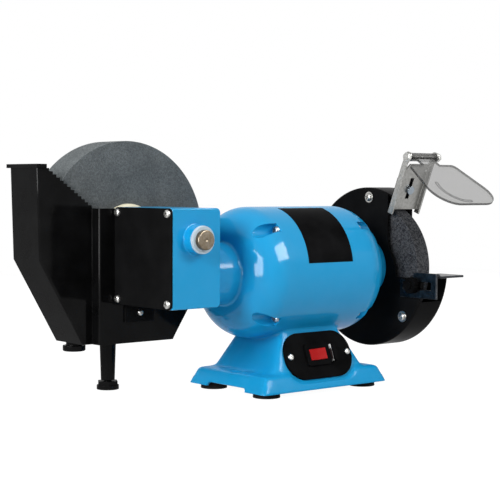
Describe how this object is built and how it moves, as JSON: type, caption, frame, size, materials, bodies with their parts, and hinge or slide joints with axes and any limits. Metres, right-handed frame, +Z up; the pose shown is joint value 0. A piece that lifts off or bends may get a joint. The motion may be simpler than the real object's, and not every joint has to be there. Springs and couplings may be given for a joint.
{
  "type": "wet and dry bench grinder",
  "caption": "Bench grinder with a fast guarded dry wheel on the motor shaft and a slow wet wheel turning in a water trough through a worm gearbox.",
  "frame": {"origin": "middle of the base, on the bench", "axes": "+X along the motor axis to the dry wheel, -Y to the side of the switch, +Z up"},
  "size_m": [0.4672, 0.2725, 0.267],
  "materials": {
    "blue_enamel": "gloss enamel",
    "black_paint": "satin paint",
    "black_plastic": "moulded, satin gloss",
    "rubber": "matte",
    "red_plastic": "moulded gloss",
    "knob_plastic": "moulded matte",
    "zinc_steel": "bright zinc",
    "bearing_steel": "turned and ground",
    "copper_wire": "varnished wire",
    "gear_bronze": "machined",
    "white_nylon": "turned nylon",
    "cream_plastic": "moulded matte",
    "wet_stone": "bonded grit, fine",
    "dry_stone": "bonded grit, coarse",
    "clear_sheet": "clear sheet"
  },
  "bodies": {
    "stand": {"base_pedestal": "blue_enamel", "motor_shell": "blue_enamel", "left_end_bell": "blue_enamel", "right_end_bell": "blue_enamel", "gearbox_housing": "blue_enamel", "gearbox_cover": "black_paint", "guard_inner": "black_paint", "guard_outer": "black_paint", "trough_bracket": "black_paint", "water_trough": "black_plastic", "trough_leg": "black_plastic", "switch_plate": "black_plastic", "switch_body": "black_plastic", "cable_gland": "black_plastic", "capacitor": "black_plastic", "rubber_feet": "rubber", "foot_screws": "zinc_steel", "base_plate": "zinc_steel", "switch_plate_screws": "zinc_steel", "end_bell_screws": "zinc_steel", "gearbox_cover_screws": "zinc_steel", "neck_screws": "zinc_steel", "trough_screws": "zinc_steel", "guard_screws": "zinc_steel", "guard_mount_screws": "zinc_steel", "tool_rest_bolt": "zinc_steel", "arrester_bolt": "zinc_steel", "motor_bearings": "bearing_steel", "stator_core": "bearing_steel", "stator_windings": "copper_wire", "front_bush": "white_nylon", "rear_bush": "white_nylon"},
    "rotor": {"motor_shaft": "bearing_steel", "rotor_core": "bearing_steel", "worm": "bearing_steel", "dry_wheel": "dry_stone", "dry_inner_flange": "zinc_steel", "dry_outer_flange": "zinc_steel", "dry_wheel_nut": "zinc_steel"},
    "wet_spindle": {"wet_shaft": "bearing_steel", "worm_wheel": "gear_bronze", "wet_wheel": "wet_stone", "wet_inner_flange": "cream_plastic", "wet_outer_flange": "cream_plastic", "wet_wheel_nut": "zinc_steel"},
    "switch_rocker": {"rocker": "red_plastic"},
    "rest": {"tool_rest": "zinc_steel"},
    "rest_knob": {"tool_rest_knob": "knob_plastic"},
    "arrester": {"spark_arrester": "zinc_steel", "shield_pivot_bolt": "zinc_steel"},
    "shield": {"eye_shield": "clear_sheet"},
    "drain": {"drain_plug": "rubber"},
    "foot": {"leg_foot": "black_plastic"}
  },
  "joints": [
    {"name": "rotor_spin", "type": "hinge", "parent": "stand", "child": "rotor", "pos_m": [0, 0, 0.128], "axis": [1, 0, 0], "continuous": true},
    {"name": "wet_spin", "type": "hinge", "parent": "stand", "child": "wet_spindle", "pos_m": [-0.166, 0, 0.167], "axis": [0, 1, 0], "continuous": true},
    {"name": "rocker_tip", "type": "hinge", "parent": "stand", "child": "switch_rocker", "pos_m": [-0.003, -0.04892, 0.03993], "axis": [0, 0.3714, 0.9285], "range_deg": [0, 16]},
    {"name": "rest_slide", "type": "slide", "parent": "stand", "child": "rest", "axis": [0, 1, 0], "range_m": [-0.01, 0.001]},
    {"name": "rest_knob_turn", "type": "hinge", "parent": "stand", "child": "rest_knob", "pos_m": [0.108, -0.078, 0.111], "axis": [1, 0, 0], "range_deg": [0, 720]},
    {"name": "arrester_slide", "type": "slide", "parent": "stand", "child": "arrester", "axis": [0, -0.3697, 0.9291], "range_m": [-0.001, 0.008]},
    {"name": "shield_tilt", "type": "hinge", "parent": "arrester", "child": "shield", "pos_m": [0.13825, -0.06835, 0.25288], "axis": [1, 0, 0], "range_deg": [-75, 35]},
    {"name": "drain_turn", "type": "hinge", "parent": "stand", "child": "drain", "pos_m": [-0.213, 0.101, 0.05], "axis": [0, 0, 1], "range_deg": [0, 90]},
    {"name": "foot_level", "type": "slide", "parent": "stand", "child": "foot", "axis": [0, 0, 1], "range_m": [-0.006, 0]}
  ],
  "couplings": [
    {"joint": "wet_spin", "follows": "rotor_spin", "ratio": 0.045455}
  ]
}
